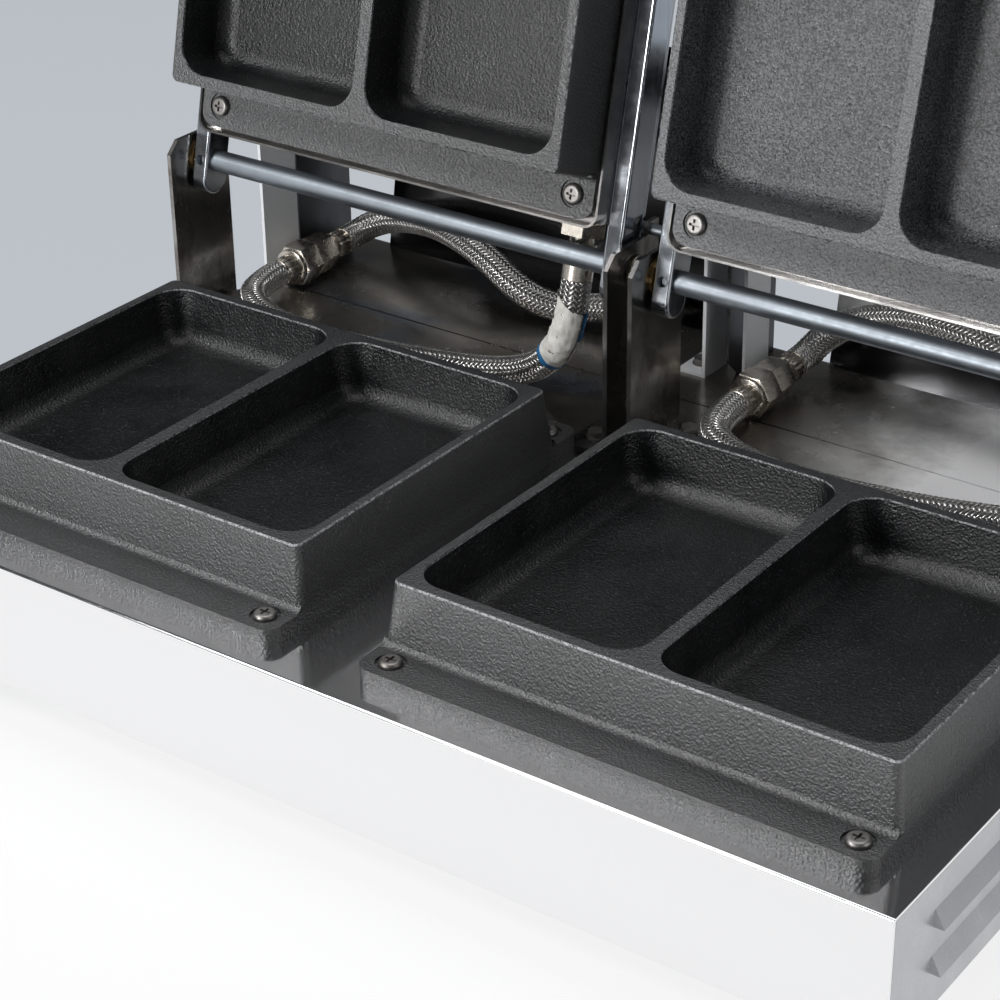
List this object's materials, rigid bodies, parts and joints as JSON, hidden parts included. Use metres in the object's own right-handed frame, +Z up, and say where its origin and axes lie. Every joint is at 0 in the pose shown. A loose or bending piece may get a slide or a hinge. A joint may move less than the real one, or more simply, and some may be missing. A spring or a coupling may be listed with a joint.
{
  "type": "gas toast press",
  "caption": "Counter-top gas press for filled toast: cast moulds side by side on a low steel body, each under a hinged lid with its own mould, burner, bar handle and braided gas hose",
  "frame": {"origin": "on the table, under the middle of the footprint", "axes": "+X along the front to the right, +Y from the front to the back, +Z up; the lids hinge about X and stand open behind the moulds"},
  "size_m": [0.636, 0.45, 0.5264],
  "materials": {
    "cast_mould": "seasoned cast iron, grainy and slightly oily",
    "brushed_steel": "brushed stainless sheet",
    "mirror_steel": "mirror-polished stainless sheet, faintly stained by heat",
    "bracket_steel": "rolled stainless plate with cut edges",
    "chrome_arm": "plated square bar",
    "zinc_rod": "bright zinc-plated steel",
    "bright_screw": "stainless fastener",
    "spring_wire": "drawn spring wire",
    "nickel_fitting": "nickel-plated brass, warm grey",
    "steel_braid": "braided stainless wire over a hose",
    "burner_steel": "heat-darkened steel tube",
    "feed_pipe": "bent aluminium pipe",
    "brass": "turned brass",
    "black_grip": "black phenolic moulding",
    "black_rubber": "moulded rubber"
  },
  "bodies": {
    "base": {"left_lower_mould": "cast_mould", "left_lower_burner": "burner_steel", "left_lid_hose": "steel_braid", "left_feed_hose": "steel_braid", "left_side_panel": "brushed_steel", "left_hinge_bracket": "bracket_steel", "left_heat_guard": "mirror_steel", "right_lower_mould": "cast_mould", "right_lower_burner": "burner_steel", "right_lid_hose": "steel_braid", "right_feed_hose": "steel_braid", "right_side_panel": "brushed_steel", "right_hinge_bracket": "bracket_steel", "right_heat_guard": "mirror_steel", "front_deck": "mirror_steel", "rear_deck": "mirror_steel", "rear_panel": "brushed_steel", "bottom_panel": "brushed_steel", "feet": "black_rubber", "middle_hinge_bracket": "bracket_steel", "hinge_bushes": "brass", "lid_stop_pins": "zinc_rod", "thrust_spring": "spring_wire", "deck_bolts": "bright_screw", "rear_frame": "bracket_steel", "foot_angles": "brushed_steel", "gas_manifold": "burner_steel", "gas_valves": "brass", "feed_pipes": "feed_pipe", "deck_elbows": "nickel_fitting", "lower_mould_screws": "bright_screw", "hose_unions": "nickel_fitting"},
    "left_lid": {"left_upper_mould": "cast_mould", "left_upper_mould_screws": "bright_screw", "left_lid_pan": "mirror_steel", "left_lid_cover": "brushed_steel", "left_lid_arm_left": "chrome_arm", "left_lid_arm_right": "chrome_arm", "left_hinge_rod": "zinc_rod", "left_cross_pins": "zinc_rod", "left_handle_bar": "zinc_rod", "left_handle_grip": "black_grip", "left_lid_burner": "burner_steel", "left_gas_fitting": "nickel_fitting"},
    "right_lid": {"right_upper_mould": "cast_mould", "right_upper_mould_screws": "bright_screw", "right_lid_pan": "mirror_steel", "right_lid_cover": "brushed_steel", "right_lid_arm_left": "chrome_arm", "right_lid_arm_right": "chrome_arm", "right_hinge_rod": "zinc_rod", "right_cross_pins": "zinc_rod", "right_handle_bar": "zinc_rod", "right_handle_grip": "black_grip", "right_lid_burner": "burner_steel", "right_gas_fitting": "nickel_fitting"},
    "left_lower_knob": {"left_lower_knob": "black_grip"},
    "left_upper_knob": {"left_upper_knob": "black_grip"},
    "right_lower_knob": {"right_lower_knob": "black_grip"},
    "right_upper_knob": {"right_upper_knob": "black_grip"}
  },
  "joints": [
    {"name": "left_lid_hinge", "type": "hinge", "parent": "base", "child": "left_lid", "pos_m": [-0.152, 0.06, 0.186], "axis": [1, 0, 0], "range_deg": [0, 103.4], "deforming": ["left_lid_hose"]},
    {"name": "right_lid_hinge", "type": "hinge", "parent": "base", "child": "right_lid", "pos_m": [0.152, 0.06, 0.186], "axis": [1, 0, 0], "range_deg": [0, 103.4], "deforming": ["right_lid_hose"]},
    {"name": "left_lower_valve_turn", "type": "hinge", "parent": "base", "child": "left_lower_knob", "pos_m": [-0.299, 0.0015, 0.0585], "axis": [-1, 0, 0], "range_deg": [0, 90]},
    {"name": "left_upper_valve_turn", "type": "hinge", "parent": "base", "child": "left_upper_knob", "pos_m": [-0.299, 0.0815, 0.0585], "axis": [-1, 0, 0], "range_deg": [0, 90]},
    {"name": "right_lower_valve_turn", "type": "hinge", "parent": "base", "child": "right_lower_knob", "pos_m": [0.299, 0.0015, 0.0585], "axis": [1, 0, 0], "range_deg": [0, 90]},
    {"name": "right_upper_valve_turn", "type": "hinge", "parent": "base", "child": "right_upper_knob", "pos_m": [0.299, 0.0815, 0.0585], "axis": [1, 0, 0], "range_deg": [0, 90]}
  ]
}
